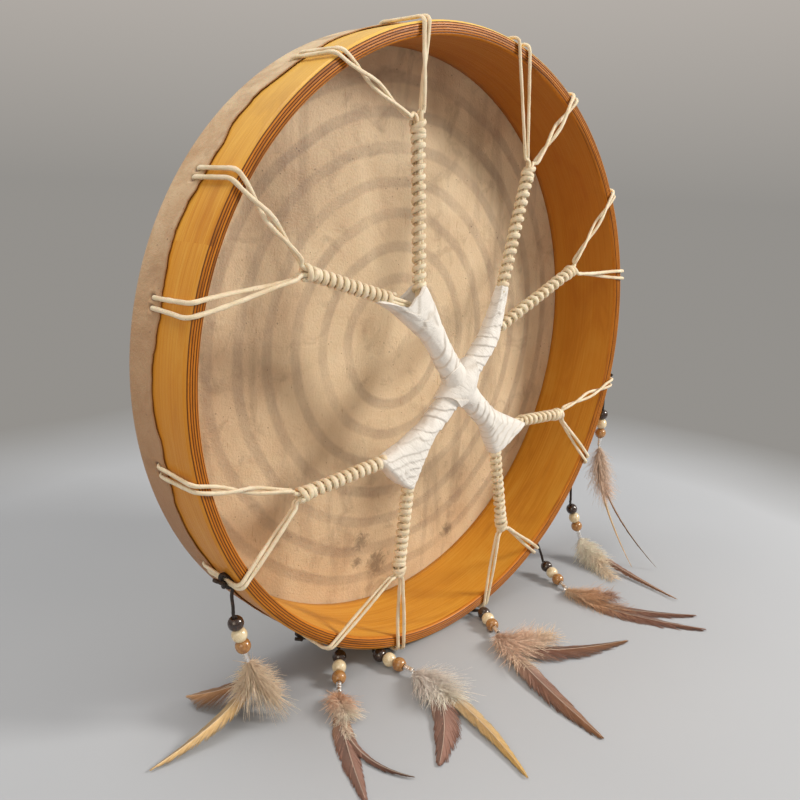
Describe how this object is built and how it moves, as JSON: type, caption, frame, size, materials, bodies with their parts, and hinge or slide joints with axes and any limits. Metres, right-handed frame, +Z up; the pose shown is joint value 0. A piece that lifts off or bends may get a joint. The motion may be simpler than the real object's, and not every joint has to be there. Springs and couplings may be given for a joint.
{
  "type": "shaman drum",
  "caption": "Round frame drum with a plywood hoop, rawhide skin, laced bundles bound into a leather-wrapped cross grip, and charms of beads and feathers on leather thongs.",
  "frame": {"origin": "on the floor below the middle of the standing drum, midway between its skin and the back of its grip", "axes": "+Z up, +Y out of the skin, +X to the right seen from behind"},
  "size_m": [0.434, 0.2001, 0.402],
  "materials": {
    "plywood": "honey-coloured lacquer",
    "hide": "dried rawhide, matt",
    "lace": "dried rawhide lace, satin",
    "white_leather": "soft white leather, matt",
    "thong": "dark leather, satin",
    "dark_wood": "varnished",
    "cream_wood": "varnished",
    "tan_wood": "varnished",
    "crimp_metal": "bright tube",
    "feather": "down and vane, matt"
  },
  "bodies": {
    "drum": {"hoop": "plywood", "skin": "hide", "lacing": "lace", "knots": "thong", "grip_cord": "lace", "grip_crossing": "white_leather", "grip_arm_upper_left": "white_leather", "grip_arm_upper_right": "white_leather", "grip_arm_lower_right": "white_leather", "grip_arm_lower_left": "white_leather", "lace_wrap_1": "lace", "lace_wrap_2": "lace", "lace_wrap_3": "lace", "lace_wrap_4": "lace", "lace_wrap_5": "lace", "lace_wrap_6": "lace", "lace_wrap_7": "lace", "lace_wrap_8": "lace"},
    "charm_1": {"thong_1": "thong", "dark_bead_1": "dark_wood", "cream_bead_1": "cream_wood", "tan_bead_1": "tan_wood", "crimp_1": "crimp_metal"},
    "feathers_1": {"plume_1": "feather"},
    "charm_2": {"thong_2": "thong", "dark_bead_2": "dark_wood", "cream_bead_2": "cream_wood", "tan_bead_2": "tan_wood", "crimp_2": "crimp_metal"},
    "feathers_2": {"plume_2": "feather"},
    "charm_3": {"thong_3": "thong", "dark_bead_3": "dark_wood", "cream_bead_3": "cream_wood", "tan_bead_3": "tan_wood", "crimp_3": "crimp_metal"},
    "feathers_3": {"plume_3": "feather"},
    "charm_4": {"thong_4": "thong", "dark_bead_4": "dark_wood", "cream_bead_4": "cream_wood", "tan_bead_4": "tan_wood", "crimp_4": "crimp_metal"},
    "feathers_4": {"plume_4": "feather"},
    "charm_5": {"thong_5": "thong", "dark_bead_5": "dark_wood", "cream_bead_5": "cream_wood", "tan_bead_5": "tan_wood", "crimp_5": "crimp_metal"},
    "feathers_5": {"plume_5": "feather"},
    "charm_6": {"thong_6": "thong", "dark_bead_6": "dark_wood", "cream_bead_6": "cream_wood", "tan_bead_6": "tan_wood", "crimp_6": "crimp_metal"},
    "feathers_6": {"plume_6": "feather"},
    "charm_7": {"thong_7": "thong", "dark_bead_7": "dark_wood", "cream_bead_7": "cream_wood", "tan_bead_7": "tan_wood", "crimp_7": "crimp_metal"},
    "feathers_7": {"plume_7": "feather"}
  },
  "joints": [
    {"name": "charm_1_swing", "type": "hinge", "parent": "drum", "child": "charm_1", "pos_m": [-0.16786, -0.01282, 0.08766], "axis": [1, 0, 0], "range_deg": [-45, 45]},
    {"name": "feathers_1_flap", "type": "hinge", "parent": "charm_1", "child": "feathers_1", "pos_m": [-0.15909, -0.01482, 0.03882], "axis": [1, 0, 0], "range_deg": [-35, 20]},
    {"name": "charm_2_swing", "type": "hinge", "parent": "drum", "child": "charm_2", "pos_m": [-0.10302, -0.00082, 0.02662], "axis": [1, 0, 0], "range_deg": [-8, 60]},
    {"name": "feathers_2_flap", "type": "hinge", "parent": "charm_2", "child": "feathers_2", "pos_m": [-0.10479, -0.03243, 0.00217], "axis": [1, 0, 0], "range_deg": [-35, 20]},
    {"name": "charm_3_swing", "type": "hinge", "parent": "drum", "child": "charm_3", "pos_m": [-0.05046, -0.01282, 0.00484], "axis": [1, 0, 0], "range_deg": [0, 75]},
    {"name": "feathers_3_flap", "type": "hinge", "parent": "charm_3", "child": "feathers_3", "pos_m": [-0.05655, -0.05001, 0.0048], "axis": [1, 0, 0], "range_deg": [-35, 20]},
    {"name": "charm_4_swing", "type": "hinge", "parent": "drum", "child": "charm_4", "pos_m": [0.03856, -0.01482, 0.00216], "axis": [1, 0, 0], "range_deg": [0, 75]},
    {"name": "feathers_4_flap", "type": "hinge", "parent": "charm_4", "child": "feathers_4", "pos_m": [0.02131, -0.05742, 0.0048], "axis": [1, 0, 0], "range_deg": [-35, 20]},
    {"name": "charm_5_swing", "type": "hinge", "parent": "drum", "child": "charm_5", "pos_m": [0.11334, -0.01082, 0.03314], "axis": [1, 0, 0], "range_deg": [-30, 75]},
    {"name": "feathers_5_flap", "type": "hinge", "parent": "charm_5", "child": "feathers_5", "pos_m": [0.11891, -0.04888, 0.00233], "axis": [1, 0, 0], "range_deg": [-35, 20]},
    {"name": "charm_6_swing", "type": "hinge", "parent": "drum", "child": "charm_6", "pos_m": [0.16786, -0.01282, 0.08766], "axis": [1, 0, 0], "range_deg": [-45, 45]},
    {"name": "feathers_6_flap", "type": "hinge", "parent": "charm_6", "child": "feathers_6", "pos_m": [0.17779, -0.02169, 0.01943], "axis": [1, 0, 0], "range_deg": [-35, 20]},
    {"name": "charm_7_swing", "type": "hinge", "parent": "drum", "child": "charm_7", "pos_m": [0.19616, -0.01783, 0.15054], "axis": [1, 0, 0], "range_deg": [-45, 45]},
    {"name": "feathers_7_flap", "type": "hinge", "parent": "charm_7", "child": "feathers_7", "pos_m": [0.1999, -0.01783, 0.09759], "axis": [1, 0, 0], "range_deg": [-35, 20]}
  ]
}
